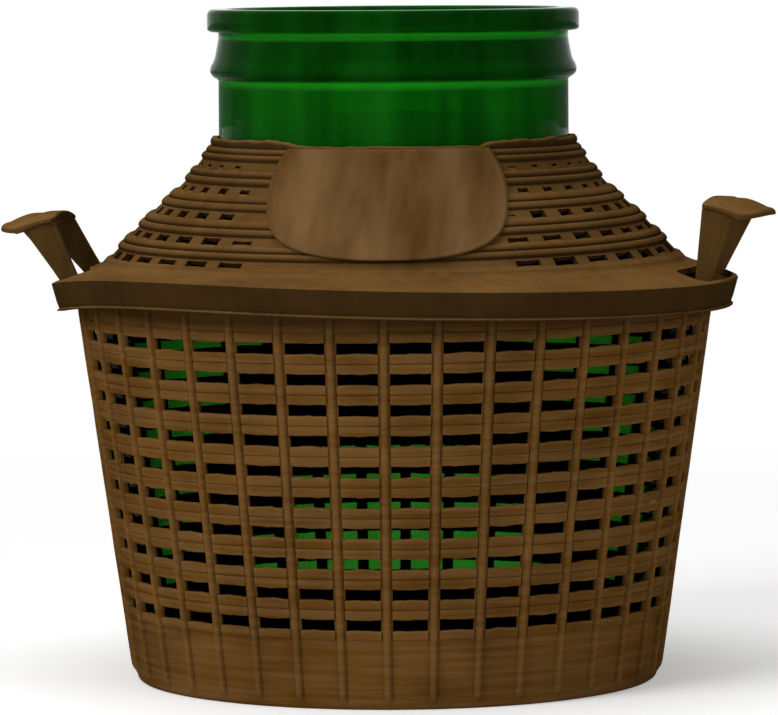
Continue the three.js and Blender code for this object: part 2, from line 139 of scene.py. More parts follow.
# Basket
FLOOR = 3.2
FLOOR_MIDDLE = 0.5
FLOOR_MARGIN = 4
FOOT_ROUND = 1.8
FOOT_STEPS = 4
BASKET_GAP = 1.3
BASKET_WALL = 2.2
RIB_COUNT = 38
RIB_HALF = 1.5
RIB_RISE = 1.6
RIB_GROOVE = 0.25
RIB_FADE = (1.5, 5)
LATTICE_TURN = math.radians(-3.67)
WINDOW_START = 27.65
WINDOW_PITCH = 10.6
WINDOW_HEIGHT = 3.9
WINDOW_ROWS = 10
POST_HALF = 2.0
WALL_SINK = 0.2
LATTICE_THIN = 0.9
THIN_SPAN = (8, 22)
BASKET_STRAND = 0.5
BASKET_SQUARE = 3
BAND_STRANDS = 2
STRAND_STEPS = 7
PLAIN_ROWS = (4, 5.5, 8, 11, 14, 17, 20, 22.5)
PINCH = 0.16
PINCH_RANGE = (0.4, 1.5)
PINCH_ROWS = 6
RAGGED = 0.34
RAGGED_ACROSS = 0.35
RAGGED_UP = 0.5
BASKET_GRAIN = 0.14
BASKET_FINENESS = 0.09
BACK_DROP = 1.0
ROW_TILT = 0.6
SHIFT_START = (8, 24)
SHIFT_END = (126, 136)
TILT_SPAN = (30, 126)
FLANGE = 2
FLANGE_TURN = 1
POCKET_INSIDE = 3.2
POCKET_OUTSIDE = 3.6
POCKET_ROOM = 1.5
LEAST_RADIUS = 20

# Columns of one bay of the basket: millimetres from the rib, then shares of the way across the window
RIB_STEPS = (0.75, 1.3, 1.5, 1.8, POST_HALF)
RIB_COLUMNS = (*(-step for step in reversed(RIB_STEPS)), 0, *RIB_STEPS)
WINDOW_COLUMNS = (0.17, 0.34, 0.5, 0.66, 0.83)

# Cover
COVER_GAP = 1.6
COVER_WALL = 2
COLLAR_GAP = 0.6
COLLAR_LAND = 1.6
COLLAR_RISE = 6
STRAND_RISE = 1.1
SMOOTH_BAND_START = 11
SMOOTH_BAND_ROWS = (0.5, 2)
SMOOTH_BAND_END = 1
SMOOTH_SINK = 0.1
FIRST_ROW = 17.6
ROW_PITCH = 10.75
COVER_ROWS = 5
ROW_STRIP = 4.4
LAST_BAND = 0.9
COVER_BAYS = 41
COVER_TURN = math.radians(-46.1)
COVER_WINDOWS = (9.6, 3)
COVER_WINDOW_HEIGHTS = (3.2, 3.1, 3, 2.5, 1.7)
WINDOW_BOW = 0.1
WEAR_RANGE = (0.75, 1.15)
LEAST_OPEN = 0.12
MOST_OPEN = 1.1
SHUT_BELOW = 0.2
CONE_HOLLOW = 2
HOLLOW_HEIGHT = 177
HOLLOW_SPREAD = 8
HOLLOW_INSIDE = 0.9
COVER_STRAND = 1.1
COVER_SQUARE = 2.6
COVER_GRAIN = 0.12
COVER_FINENESS = 0.08
LEDGE_WIDTH = 17.4
LEDGE_DROP = 4
LEDGE = 2.1
LEDGE_FILLET = (2.6, 1.2, 0.4)
FILLET_RISE = 0.35
SKIRT_DEPTH = 9.9
SKIRT_DRAFT = 2.6
SKIRT_WALL = 1.6
SKIRT_BEAD = 0.8
SKIRT_LEVELS = (0.35, 0.6, 0.82)
RIM_ROUND = 0.45
RIM_STEPS = 4
RIM_SPREAD = 0.02
RIM_FILLET = 0.6
COVER_SEAT_GAP = 0.35
FLANGE_CLEARANCE = 1.3
RIM_LIFT = 1.7
RIM_TILT = 3.2
RIM_DIP = 8.2
DIP_SPREAD = math.radians(34)
SAG_REACH = 14
SAG_START = 7
SAG_END = 4
COLLAR_START = 0.95
COLLAR_BOW = 0.8
COLLAR_RAGGED = 0.7
COLLAR_MEAN = 0.35
COLLAR_UNEVEN = 0.35
COLLAR_DIP = 1.5
BEHIND_PLATE = (0.62, 0.5)
ROW_SWING = 1.3
SWING_START = (1, 4)
SWING_END = 8
SWING_FRONT = 0.8

# Height above the skirt's foot and share of its bead, then share of the way up the collar and its swell
SKIRT_BEAD_FORM = ((0, 0.8), (0.12, 1), (0.35, 1), (0.6, 0.55), (0.95, 0))
COLLAR_FORM = ((0.0, 0.2), (0.3, 0.75), (0.6, 0.8), (0.85, 0.5), (1, 0))

# How fine the collar's coarse and fine raggedness is, where it is taken, and its share
COLLAR_WAVES = ((9, 3, 1), (30, 8, 0.5))

# Columns of one bay of the cover: half windows from the window's middle, then shares of the way to the next
COVER_COLUMNS = (-1, -0.5, 0, 0.5, 1)
POST_COLUMNS = (0.2, 0.5, 0.8)

# Bare plate
PLATE_DIRECTION = math.radians(-84.1)
PLATE_HALF = 41.4
PLATE_TOP_HALF = 34.8
PLATE_HEIGHT = 37
PLATE_FOOT = 153.5
PLATE_SHOULDER = 20
PLATE_CURVE_UP = 3.2
PLATE_CURVE_ACROSS = 2.6
PLATE_RISE = 0.9
PLATE_ROOT = 0.6
PLATE_CROWN = 0.25
PLATE_EDGE = 0.5
PLATE_BEAD = 0.55
PLATE_BEAD_INSET = 0.9
PLATE_BEAD_WIDTH = 0.55
PLATE_ROWS = 44
PLATE_ROW_POWER = 1.5
PLATE_SIDES = 30
CLOSING_SHIFT = 3
CLOSING_START = 1
CLOSING_SPAN = 7

# Handles
PIVOT_INSET = 7.6
PIVOT_HEIGHT = 140.55
LEG_SPACING = 48
LEG_THICKNESS = 3.4
LEG_ROWS = 18
LEG_COLUMNS = 16
WAIST_HEIGHT = 3
LEG_TOP_HALF = 5.8
LEG_EDGE = 0.6
LEG_BEVEL = 0.8
BEVEL_ACROSS = (0.45, 0.8)
BEVEL_UP = (3, 8)
LEG_ROOT = 2.4
FOOT_RADIUS = 2.6
FOOT_TIP = 0.2
FOOT_ROWS = 5
GRIP_LENGTH = 54.4
GRIP_ROWS = 28
GRIP_COLUMNS = 44
NOSE_START = 13.5
NOSE_THIN = 0.5
GRIP_THICKNESS = 3.8
GRIP_CORNER = 4
CORNER_INSET = 0.5
GRIP_EDGE = 0.9
GRIP_RIM = 1.5
GRIP_SWELL = 5
GRIP_DISH = 0.5
DISH_INSET = 4.5
DISH_SPAN = (1.2, 3)
GRIP_DROOP = 4.4
DROOP_START = 0.5
DROOP_POWER = 1.5
END_STIFFNESS = 0.2
GRIP_ARCH = 2.2
GRIP_FALL = math.radians(2)
# Length of the legs, half width at their waist, width of the grip, tilt, turn and shift of each handle
RIGHT_HANDLE = (26.5, 2.9, 21.3, math.radians(16), math.radians(4.8), 0.3)
LEFT_HANDLE = (22, 3.2, 22.6, math.radians(36.5), math.radians(-3), -1.1)
SLOT_HALF = math.radians(20)
SLOT_REACH = 5.6
SLOT_RIM = 0.12
SLOT_TIP = 6
SLOT_TIP_SHARE = 0.15
SLOT_PAST = 3

# Floor and surroundings: sizes in metres, how much the floor glows, and where it fades into the white
FLOOR_SIZE = 14
FLOOR_WHITE = (0.9, 0.9, 0.9, 1)
FLOOR_ROUGHNESS = 0.9
FLOOR_GLOW = 0.3
FLOOR_FADE = (0.3, 0.9)
WHITE = (1, 1, 1, 1)
ROOM_GREY = (0.29, 0.29, 0.29, 1)

# Lights: name, place, aim and size in metres, and power
LIGHTS = (
    ("key", (-1.15, -1.55, 1.2), (0, 0, 0.12), 1.2, 26),
    ("fill", (1.6, -1.2, 0.35), (0, 0, 0.1), 1.2, 7),
    ("top", (-0.2, -0.2, 2.0), (0, 0, 0.1), 1.5, 14),
)

# Camera, measured in the photograph's frame, which is 778 pixels wide
FRAME_WIDTH = 778
AXIS_PIXEL = 395.3
FOCAL_PIXELS = 5518
CAMERA_DISTANCE = 1960
CAMERA_HEIGHT = 265
CAMERA_TURN = math.radians(-82.1)
CAMERA_ROLL = math.radians(-0.4)
AIM_HEIGHT = 113.65
FARTHEST_SEEN = 100


def smoothstep(low, high, value):
    share = min(max((value - low) / (high - low), 0), 1)
    return share * share * (3 - 2 * share)


def eased(step, steps):
    """Share of the way from 0 to 1 at a step, with the steps closer together at both ends."""
    return 0.5 - 0.5 * math.cos(math.pi * step / steps)


def spread(steps):
    """Shares from -1 to 1, closer together at both ends."""
    return [-math.cos(math.pi * k / steps) for k in range(steps + 1)]


def drop(inside, radius):
    """How far a rounded edge of that radius falls at a distance inside the border."""
    if inside >= radius:
        return 0
    return radius - math.sqrt(radius * radius - (radius - max(inside, 0)) ** 2)


def place(radius, angle, height):
    return (radius * math.cos(angle), radius * math.sin(angle), height)


def uneven(radius, angle, height):
    """Smooth unevenness at a place round the axis, about -1 to 1."""
    return noise.noise(Vector(place(radius, angle, height)))


# Shared lines of the vessel, as (radius, height)
LEAN = math.tan(BODY_FLARE)


def body_radius(height):
    return BASE_RADIUS + LEAN * (height - GLASS_FOOT)


shoulder = Vector((body_radius(GLASS_FOOT + BODY_HEIGHT), GLASS_FOOT + BODY_HEIGHT))
neck_foot = Vector((NECK_RADIUS, shoulder.y + SHOULDER_RISE))
slope = (neck_foot - shoulder).normalized()
slope_normal = Vector((slope.y, -slope.x))


def on_slope(along, off):
    return shoulder + slope * along + slope_normal * off


def slope_at(off, height):
    """Radius of the cone that lies off the shoulder's slope, at a height."""
    start = on_slope(0, off)
    return start.x + slope.x / slope.y * (height - start.y)


VALLEY = COVER_GAP + COVER_WALL
CREST = VALLEY + STRAND_RISE
ledge_inner = on_slope(SMOOTH_BAND_START, CREST)
rim = ledge_inner + Vector((LEDGE_WIDTH, -LEDGE_DROP))
collar_radius = NECK_RADIUS + COLLAR_GAP
collar_top = neck_foot.y + COLLAR_RISE
skirt_inner = rim.x - SKIRT_WALL
flange_radius = skirt_inner - FLANGE_CLEARANCE
pivot_radius = flange_radius - PIVOT_INSET
pivot_reach = math.hypot(pivot_radius, LEG_SPACING / 2)
slot_outer = skirt_inner - SLOT_RIM
slot_inner = pivot_reach - SLOT_REACH


def ledge_top(radius):
    return ledge_inner.y - (radius - ledge_inner.x) * LEDGE_DROP / LEDGE_WIDTH


def cone_hollow(height):
    """How far the cone is drawn in below its collar."""
    return CONE_HOLLOW * math.exp(-((height - HOLLOW_HEIGHT) / HOLLOW_SPREAD) ** 2)


def flange_top(radius):
    return ledge_top(radius) - LEDGE - COVER_SEAT_GAP


def sag_at(radius, angle):
    """How far the rim hangs below level: it's tilted to the right, and the left handle pulls it down."""
    start = ledge_inner.x - SAG_REACH
    share = min(max((radius - start) / (rim.x - start), 0), 1)
    from_left = math.remainder(angle - math.pi, 2 * math.pi)
    pull = RIM_TILT * math.cos(angle) + RIM_DIP * math.exp(-(from_left / DIP_SPREAD) ** 2)
    return share * (share * pull - RIM_LIFT)


def rounded(corners):
    """Outline through corners (across, up, rounding), with an arc in place of each rounded corner."""
    points = []
    for i, (across, up, radius) in enumerate(corners):
        corner = Vector((across, up))
        if radius == 0:
            points.append(corner)
            continue
        back = (Vector(corners[i - 1][:2]) - corner).normalized()
        ahead = (Vector(corners[i + 1][:2]) - corner).normalized()
        opening = math.acos(back.dot(ahead))
        turn = -math.copysign(math.pi - opening, back.x * ahead.y - back.y * ahead.x)
        centre = corner + (back + ahead).normalized() * radius / math.sin(opening / 2)
        start = corner + back * radius / math.tan(opening / 2) - centre
        steps = math.ceil(abs(turn) / ARC_STEP)
        for k in range(steps + 1):
            points.append(centre + Matrix.Rotation(turn * k / steps, 2) @ start)
    return points


def thick_sheet(outer, inner, open_cell=None, wrap=False, pole=False):
    """Points and faces of a closed sheet between two grids of points; open cells are left out."""
    rows, columns = len(outer), len(outer[0])
    across = columns if wrap else columns - 1
    points = [p for grid in (outer, inner) for row in grid for p in row]
    faces = []

    def corner(layer, i, j):
        return (layer * rows + i) * columns + j % columns

    def kept(i, j):
        if wrap:
            j %= columns
        inside = 0 <= i < rows - 1 and 0 <= j < across
        return inside and not (open_cell and open_cell(i, j))

    for i in range(rows - 1):
        for j in range(across):
            if not kept(i, j):
                continue
            ring = [(i, j), (i, j + 1), (i + 1, j + 1), (i + 1, j)]
            faces.append([corner(0, *c) for c in ring])
            faces.append([corner(1, *c) for c in reversed(ring)])
            beside = [(i - 1, j), (i, j + 1), (i + 1, j), (i, j - 1)]
            for k, cell in enumerate(beside):
                if kept(*cell) or (pole and cell[0] < 0):
                    continue
                a, b = ring[k], ring[(k + 1) % len(ring)]
                faces.append([corner(0, *b), corner(0, *a), corner(1, *a), corner(1, *b)])
    return points, faces


def joined(*sheets):
    points, faces = [], []
    for sheet_points, sheet_faces in sheets:
        start = len(points)
        points.extend(sheet_points)
        faces.extend([start + k for k in face] for face in sheet_faces)
    return points, faces


def make_piece(name, sheet, material, body, node=None):
    points, faces = sheet
    mesh = bpy.data.meshes.new(name)
    mesh.from_pydata([tuple(c * MM for c in p) for p in points], [], faces)
    form = bmesh.new()
    form.from_mesh(mesh)
    bmesh.ops.remove_doubles(form, verts=form.verts, dist=WELD)
    loose = [v for v in form.verts if not v.link_faces]
    bmesh.ops.delete(form, geom=loose, context="VERTS")
    bmesh.ops.recalc_face_normals(form, faces=form.faces)
    for face in form.faces:
        face.smooth = True
    for edge in form.edges:
        edge.smooth = len(edge.link_faces) == 2 and edge.calc_face_angle() < SHARP
    form.to_mesh(mesh)
    form.free()
    mesh.materials.append(material)
    piece = bpy.data.objects.new(name, mesh)
    scene.collection.objects.link(piece)
    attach(piece, body)
    if node:
        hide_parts(node)
    return piece


# Materials
def linear(red, green, blue):
    """Colour given as 0 to 255 on screen, in linear light."""
    def channel(c):
        c /= 255
        return c / 12.92 if c <= 0.04045 else ((c + 0.055) / 1.055) ** 2.4
    return (channel(red), channel(green), channel(blue), 1)


class Graph:
    """A material's nodes, added and linked one line at a time."""

    # Where a mixing node takes its share and two colours, and gives the mixed colour
    MIX_INPUTS = (0, 6, 7)
    MIX_OUTPUT = 2

    def __init__(self, name):
        self.material = bpy.data.materials.new(name)
        self.material.use_nodes = True
        self.nodes = self.material.node_tree.nodes
        self.links = self.material.node_tree.links
        self.shader = self.nodes["Principled BSDF"]
        self.output = self.nodes["Material Output"]

    def put(self, socket, value):
        if isinstance(value, bpy.types.NodeSocket):
            self.links.new(value, socket)
        else:
            socket.default_value = value

    def fill(self, node, **inputs):
        for key, value in inputs.items():
            self.put(node.inputs[key.replace("_", " ")], value)

    def add(self, kind, settings=None, **inputs):
        node = self.nodes.new(kind)
        for key, value in (settings or {}).items():
            setattr(node, key, value)
        self.fill(node, **inputs)
        return node

    def noise(self, scale, stretch=(1, 1, 1), detail=3):
        coords = self.add("ShaderNodeTexCoord").outputs["Object"]
        mapped = self.add("ShaderNodeMapping", Vector=coords, Scale=stretch).outputs[0]
        return self.add("ShaderNodeTexNoise", Vector=mapped, Scale=scale, Detail=detail).outputs["Fac"]

    def span(self, value, low, high, start, end):
        node = self.add("ShaderNodeMapRange", Value=value, From_Min=low, From_Max=high)
        self.fill(node, To_Min=start, To_Max=end)
        return node.outputs[0]

    def mix(self, share, first, second):
        node = self.nodes.new("ShaderNodeMix")
        node.data_type = "RGBA"
        for key, value in zip(self.MIX_INPUTS, (share, first, second)):
            self.put(node.inputs[key], value)
        return node.outputs[self.MIX_OUTPUT]

    def ramp(self, value, stops):
        node = self.add("ShaderNodeValToRGB", Fac=value)
        for at, shade in stops:
            node.color_ramp.elements.new(at).color = (shade, shade, shade, 1)
        node.color_ramp.elements.remove(node.color_ramp.elements[0])
        return node.outputs[0]

    def height(self):
        coords = self.add("ShaderNodeTexCoord").outputs["Object"]
        return self.add("ShaderNodeSeparateXYZ", Vector=coords).outputs["Z"]

    def bump(self, form, strength, depth):
        return self.add("ShaderNodeBump", Height=form, Strength=strength, Distance=depth).outputs[0]


def plastic(name, dark, light, streak, roughness, shade=0, shadow=None, flow=FLOW_STRETCH):
    """Satin polyethylene with flow streaks, a painted highlight on convex edges, painted shade in each
    groove, and painted shade on its sides or under a rim.
    """
    graph = Graph(name)
    blotches = graph.span(graph.noise(BLOTCH_SCALE, detail=5), *BLOTCH_SPAN, 0, 1)
    colour = graph.mix(blotches, linear(*dark), linear(*light))
    streaks = graph.span(graph.noise(1, stretch=flow), *FLOW_SPAN, 0, streak)
    colour = graph.mix(streaks, colour, linear(*FLOW_BROWN))
    edges = graph.add("ShaderNodeNewGeometry").outputs["Pointiness"]
    # Painted highlight: convex edges are paled, as where light catches them
    edge_highlight = graph.span(edges, *EDGE_HIGHLIGHT_SPAN, 0, EDGE_HIGHLIGHT_AMOUNT)
    colour = graph.mix(edge_highlight, colour, linear(*EDGE_HIGHLIGHT_BROWN))
    # Painted shade: hollow edges and grooves are darkened, as where shade falls
    groove_shade = graph.span(edges, *GROOVE_SHADE_SPAN, 0, GROOVE_SHADE_AMOUNT)
    colour = graph.mix(groove_shade, colour, linear(*GROOVE_SHADE_BROWN))
    # Painted shade: faces that turn sideways or down are darkened towards the shadow brown, as light falls
    # from above
    if shade:
        facing = graph.add("ShaderNodeTexCoord").outputs["Normal"]
        up = graph.add("ShaderNodeSeparateXYZ", Vector=facing).outputs["Z"]
        colour = graph.mix(graph.span(up, *SIDE_SHADE_SPAN, 0, shade), colour, linear(*SHADOW_BROWN))
    # Painted shadow: darker over a span of heights in metres, such as just under the cover's skirt
    if shadow:
        painted_rim_shadow = graph.span(graph.height(), *shadow, 0, SHADOW_AMOUNT)
        colour = graph.mix(painted_rim_shadow, colour, linear(*SHADOW_BROWN))
    sheen = graph.noise(SHEEN_SCALE, detail=4)
    rough = graph.span(sheen, *SHEEN_SPAN, roughness - SHEEN_GAIN, roughness + SHEEN_LOSS)
    pitting = graph.noise(PITTING_SCALE, stretch=PITTING_STRETCH, detail=5)
    bump = graph.bump(pitting, PITTING_STRENGTH, PITTING_DEPTH)
    graph.fill(graph.shader, Base_Color=colour, Roughness=rough, Specular_IOR_Level=0, Normal=bump)
    return graph.material


def green_glass(name, deep, pale, clear, ior):
    """Bottle glass with faint cords and waves; less clear where the light is scattered in a thick neck, with
    painted shade on the bead and lip and painted light in bright lines under them.
    """
    graph = Graph(name)
    cords = graph.span(graph.noise(1, stretch=CORD_STRETCH), *CORD_SPAN, 0, 1)
    colour = graph.mix(cords, deep, pale)
    level = graph.span(graph.height(), NECK_LINE, NECK_TOP, 0, 1)
    # Painted shade: the bead and the lip are darkened as thick glass looks
    colour = graph.mix(graph.ramp(level, NECK_SHADE_STOPS), colour, NECK_SHADE_GREEN)
    # Painted light: bright green lines under the bead and in the groove under the lip, as light through the
    # glass shows there
    colour = graph.mix(graph.ramp(level, GROOVE_LIGHT_STOPS), colour, GROOVE_LIGHT_GREEN)
    ripples = graph.noise(1, stretch=RIPPLE_STRETCH, detail=2)
    bump = graph.bump(ripples, RIPPLE_STRENGTH, RIPPLE_DEPTH)
    graph.fill(graph.shader, Base_Color=colour, Roughness=GLASS_ROUGHNESS, IOR=ior, Normal=bump)
    graph.fill(graph.shader, Transmission_Weight=clear, Specular_Tint=GLASS_SHINE)
    depth = graph.add("ShaderNodeVolumeAbsorption", Color=GLASS_PASSES, Density=GLASS_DEPTH)
    graph.fill(graph.output, Volume=depth.outputs[0])
    return graph.material


# Pieces
def glass_sheet():
    """The vessel as one turned skin, from the middle of its base over the lip to its floor."""
    bead = neck_foot.y + NECK_LENGTH
    groove = bead + BEAD_HEIGHT
    lip = groove + LIP_GROOVE
    top = lip + LIP_HEIGHT
    mouth = NECK_RADIUS - NECK_WALL
    lip_radius = NECK_RADIUS + LIP_OVERHANG
    floor = GLASS_FOOT + GLASS_BASE
    inner_slope = on_slope(0, -GLASS_WALL)
    inner_wall = BASE_RADIUS - GLASS_WALL
    rise = (inner_slope.x - inner_wall - LEAN * (inner_slope.y - GLASS_FOOT)) / (LEAN - slope.x / slope.y)
    inner_shoulder = (inner_wall + LEAN * (inner_slope.y + rise - GLASS_FOOT), inner_slope.y + rise)
    inner_neck = inner_slope.y + (mouth - inner_slope.x) * slope.y / slope.x
    profile = rounded([
        (0, GLASS_FOOT + PUNT_RISE, 0),
        (BASE_RADIUS - PUNT_MARGIN, GLASS_FOOT, 0),
        (BASE_RADIUS, GLASS_FOOT, BASE_ROUND),
        (shoulder.x, shoulder.y, SHOULDER_ROUND),
        (neck_foot.x, neck_foot.y, NECK_FILLET),
        (NECK_RADIUS, bead, BEAD_CORNER),
        (NECK_RADIUS + BEAD_OVERHANG, bead, BEAD_ROUND),
        (NECK_RADIUS + BEAD_HOLLOW, (bead + groove) / 2, BEAD_HOLLOW_ROUND),
        (NECK_RADIUS, groove, GROOVE_ROUND),
        (NECK_RADIUS, lip, LIP_CORNER),
        (lip_radius, lip, LIP_UNDER_ROUND),
        (lip_radius, top, LIP_ROUND),
        (mouth, top, LIP_ROUND),
        (mouth, inner_neck, NECK_FILLET),
        (*inner_shoulder, SHOULDER_ROUND - GLASS_WALL),
        (inner_wall + LEAN * GLASS_BASE, floor, BASE_ROUND - GLASS_WALL),
        (0, floor + PUNT_RISE, 0),
    ])
    points, faces = [], []
    for i, at in enumerate(profile):
        for j in range(GLASS_COLUMNS):
            angle = 2 * math.pi * j / GLASS_COLUMNS
            wave = GLASS_WAVE * uneven(WAVE_FINENESS, angle, at.y / WAVE_RISE)
            points.append(place(at.x + wave * min(at.x / NECK_RADIUS, 1), angle, at.y))
            if i:
                beside = (j + 1) % GLASS_COLUMNS
                low, high = (i - 1) * GLASS_COLUMNS, i * GLASS_COLUMNS
                faces.append([low + j, low + beside, high + beside, high + j])
    return points, faces


def strand_rows(count):
    """Rows across strands laid side by side: the share of the way up, and the share across its strand."""
    rows = [(0, 0)]
    for strand in range(count):
        for k in range(1, STRAND_STEPS + 1):
            across = eased(k, STRAND_STEPS)
            rows.append(((strand + across) / count, across))
    return rows


def strand_relief(across, squareness):
    """Relief of a strand, from one edge (0) over its crown to the other edge (1)."""
    return (1 - abs(2 * across - 1) ** squareness) ** (1 / squareness)


def wall_inner(height):
    return body_radius(height) + BASKET_GAP


def wall_outer(height):
    return wall_inner(height) + BASKET_WALL


def basket_columns():
    """Columns round the basket: (the rib's direction, place on the rib, share of the window, bay)."""
    bay = 2 * math.pi / RIB_COUNT
    columns = []
    for k in range(RIB_COUNT):
        rib = LATTICE_TURN + bay * (k + 0.5)
        columns.extend((rib, offset, None, k) for offset in RIB_COLUMNS)
        columns.extend((rib, None, share, k) for share in WINDOW_COLUMNS)
    return columns


def basket_rows():
    """Rows up the wall: (height, strand relief, how far a pinch moves the row, window row or None)."""
    band = WINDOW_PITCH - WINDOW_HEIGHT
    rows = [(height, 0, 0, None) for height in PLAIN_ROWS]

    def add_band(foot, height, count, pinch_low, pinch_high):
        for share, across in strand_rows(count):
            pinch = pinch_low + (pinch_high - pinch_low) * share
            rows.append((foot + height * share, strand_relief(across, BASKET_SQUARE), pinch, None))

    add_band(WINDOW_START - band / 2, band / 2, 1, 0, 1)
    for row in range(WINDOW_ROWS):
        rows[-1] = (*rows[-1][:3], row)
        top = WINDOW_START + row * WINDOW_PITCH + WINDOW_HEIGHT
        if row < WINDOW_ROWS - 1:
            add_band(top, band, BAND_STRANDS, -1, 1)
        else:
            add_band(top, band / 2, 1, -1, 0)
    return rows


def basket_profile(wall):
    """Sections of the basket: outer radius and height, inner radius and height; None for a wall's row."""
    foot = wall_outer(0) - FOOT_ROUND
    sections = [(radius, 0, radius, FLOOR) for radius in (0, foot * FLOOR_MIDDLE, foot - FLOOR_MARGIN)]
    for k in range(FOOT_STEPS + 1):
        turn = math.pi / 2 * k / FOOT_STEPS
        inset = FOOT_ROUND * (1 - math.sin(turn))
        rise = FOOT_ROUND * (1 - math.cos(turn))
        sections.append((wall_outer(0) - inset, rise, wall_inner(FLOOR) - inset, FLOOR))
    sections.extend(None for _ in wall)
    under = flange_top(flange_radius) - FLANGE
    turned = wall_outer(under) + FLANGE_TURN
    top = flange_top(turned)
    sections.append((turned, top - FLANGE, wall_inner(under) + FLANGE_TURN, top))
    for radius in (pivot_reach - POCKET_INSIDE, pivot_reach + POCKET_OUTSIDE, flange_radius):
        sections.append((radius, flange_top(radius) - FLANGE, radius, flange_top(radius)))
    return sections


def row_shift(height, angle):
    """How far the lattice's rows lie off level: lower at the back, and higher on the right near the top."""
    middle = smoothstep(*SHIFT_START, height) * (1 - smoothstep(*SHIFT_END, height))
    tilt = ROW_TILT * smoothstep(*TILT_SPAN, height) * math.cos(angle)
    return middle * (tilt - BACK_DROP * max(math.sin(angle), 0))


def column_angle(column, radius):
    """Direction of one of the basket's columns at a radius, so that ribs are as wide at every height."""
    rib, offset, share, _ = column
    if offset is not None:
        return rib + offset / radius
    post = POST_HALF / radius
    return rib + post + (2 * math.pi / RIB_COUNT - 2 * post) * share


def wall_section(row, column, radius, angle, pinched):
    """Section of the lattice wall at one row and column, with its strands, ribs, pinches and grain."""
    height, strand, pinch, _ = row
    _, offset, share, _ = column
    rib = 0
    beside = 1
    if offset is None:
        swell = math.sin(math.pi * share) ** 2 * pinched
        ragged = uneven(RAGGED_ACROSS * radius, angle, RAGGED_UP * height)
        height += pinch * (PINCH * swell + RAGGED * ragged)
    else:
        rib = math.sqrt(max(1 - (offset / RIB_HALF) ** 2, 0)) * RIB_RISE
        beside = smoothstep(RIB_HALF, POST_HALF, abs(offset))
    height += row_shift(height, angle)
    rib *= smoothstep(*RIB_FADE, height)
    relief = (BASKET_STRAND * strand + RIB_GROOVE) * beside - RIB_GROOVE
    grain = BASKET_GRAIN * uneven(BASKET_FINENESS * radius, angle, BASKET_FINENESS * height)
    relief = max(relief, rib) + grain - WALL_SINK
    thin = LATTICE_THIN * smoothstep(*THIN_SPAN, height)
    return (wall_outer(height) + relief, height, wall_inner(height) + thin, height)


def hung(radius, angle, height):
    """A point of the basket, which hangs with the rim near its top."""
    part = smoothstep(shoulder.y - SAG_START, PIVOT_HEIGHT - SAG_END, height)
    return place(radius, angle, height - part * sag_at(radius, angle))


def basket_sheet():
    """The lattice basket, from the middle of its base up the wall to the edge of its flange."""
    columns = basket_columns()
    wall = basket_rows()
    profile = basket_profile(wall)
    wall_start = profile.index(None)
    pinches = [[chance.uniform(*PINCH_RANGE) for _ in columns] for _ in profile]
    outer, inner = [], []
    for i, section in enumerate(profile):
        outer_row, inner_row = [], []
        for column in columns:
            if section is None:
                row = wall[i - wall_start]
                radius = wall_outer(max(row[0], FLOOR))
                angle = column_angle(column, radius)
                at = wall_section(row, column, radius, angle, pinches[i // PINCH_ROWS][column[-1]])
            else:
                angle = column_angle(column, max(section[0], LEAST_RADIUS))
                at = section
            outer_row.append(hung(at[0], angle, at[1]))
            inner_row.append(hung(at[2], angle, at[3]))
        outer.append(outer_row)
        inner.append(inner_row)
    per_bay = len(RIB_COLUMNS) + len(WINDOW_COLUMNS)
    wall_end = wall_start + len(wall)

    def open_cell(i, j):
        if wall_start <= i < wall_end:
            in_window = j % per_bay >= len(RIB_COLUMNS) - 1
            return in_window and wall[i - wall_start][-1] is not None
        if i == wall_end + 1:
            x, y, _ = outer[i][j]
            by_foot = abs(abs(y) - LEG_SPACING / 2) < LEG_THICKNESS / 2 + POCKET_ROOM
            return by_foot and abs(x) > LEG_SPACING
        return False

    return thick_sheet(outer, inner, open_cell, wrap=True, pole=True)


def row_place(row):
    """How far up the slope a row of the cover's windows has its middle, 0 for the lowest row."""
    return FIRST_ROW + row * ROW_PITCH


def window_width(row):
    """Width of a window of the cover, 0 for the lowest row."""
    widest, narrowest = COVER_WINDOWS
    return widest + (narrowest - widest) * min(max(row / (COVER_ROWS - 1), 0), 1)


